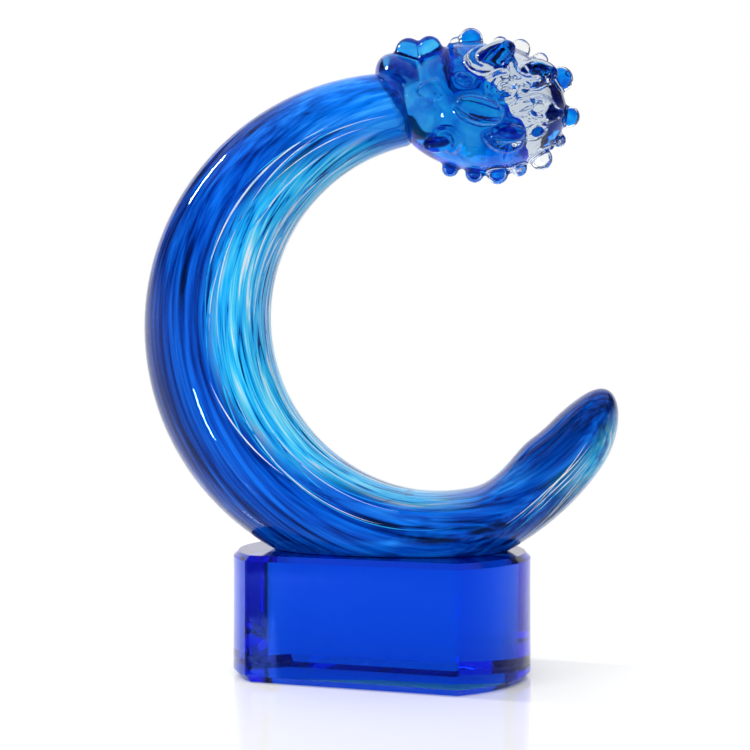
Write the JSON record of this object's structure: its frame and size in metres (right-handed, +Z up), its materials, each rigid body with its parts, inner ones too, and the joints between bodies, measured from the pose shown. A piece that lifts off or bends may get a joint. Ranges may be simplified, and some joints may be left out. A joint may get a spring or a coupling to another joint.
{
  "type": "glass wave sculpture",
  "caption": "Free-standing art glass wave in cobalt and clear glass, curling over to a foaming crest, bonded to a bevelled crystal plinth for display.",
  "frame": {"origin": "centre of the plinth's flat underside", "axes": "+Z up, -Y out of the flat engraving face, +X towards the wave's tail"},
  "size_m": [0.1942, 0.0844, 0.2664],
  "materials": {
    "cobalt_crystal": "polished transparent cobalt crystal",
    "clear_glass": "fire-polished clear soda-lime glass",
    "cobalt_glass": "cobalt blue glass",
    "white_glass": "opal white drawn glass",
    "turquoise_glass": "turquoise glass",
    "clear_adhesive": "cured clear adhesive"
  },
  "bodies": {
    "root": {"bond_film": "clear_adhesive", "crest_cap": "cobalt_glass", "crest_foam": "clear_glass", "foam_drop_01": "clear_glass", "foam_drop_02": "clear_glass", "foam_drop_03": "clear_glass", "foam_drop_04": "clear_glass", "foam_drop_05": "clear_glass", "foam_drop_06": "clear_glass", "foam_drop_07": "clear_glass", "foam_drop_08": "clear_glass", "foam_drop_09": "clear_glass", "foam_drop_10": "clear_glass", "foam_drop_11": "clear_glass", "foam_drop_12": "clear_glass", "foam_drop_13": "clear_glass", "foam_drop_14": "clear_glass", "foam_drop_15": "clear_glass", "foam_drop_16": "clear_glass", "foam_drop_17": "clear_glass", "foam_drop_18": "clear_glass", "foam_drop_19": "clear_glass", "foam_drop_20": "clear_glass", "foam_drop_21": "clear_glass", "foam_drop_22": "clear_glass", "foam_drop_23": "clear_glass", "foam_drop_24": "clear_glass", "foam_drop_25": "clear_glass", "foam_drop_26": "clear_glass", "foam_drop_27": "clear_glass", "foam_drop_28": "clear_glass", "foam_drop_29": "clear_glass", "foam_drop_30": "clear_glass", "foam_drop_31": "clear_glass", "foam_drop_32": "clear_glass", "foam_drop_33": "clear_glass", "foam_drop_34": "clear_glass", "plinth": "cobalt_crystal", "turquoise_thread_01": "turquoise_glass", "turquoise_thread_02": "turquoise_glass", "turquoise_thread_03": "turquoise_glass", "turquoise_thread_04": "turquoise_glass", "turquoise_thread_05": "turquoise_glass", "turquoise_thread_06": "turquoise_glass", "turquoise_thread_07": "turquoise_glass", "wave_band": "turquoise_glass", "wave_casing": "clear_glass", "wave_core": "cobalt_glass", "white_thread_01": "white_glass", "white_thread_02": "white_glass", "white_thread_03": "white_glass", "white_thread_04": "white_glass", "white_thread_05": "white_glass", "white_thread_06": "white_glass", "white_thread_07": "white_glass", "white_thread_08": "white_glass"}
  },
  "joints": []
}
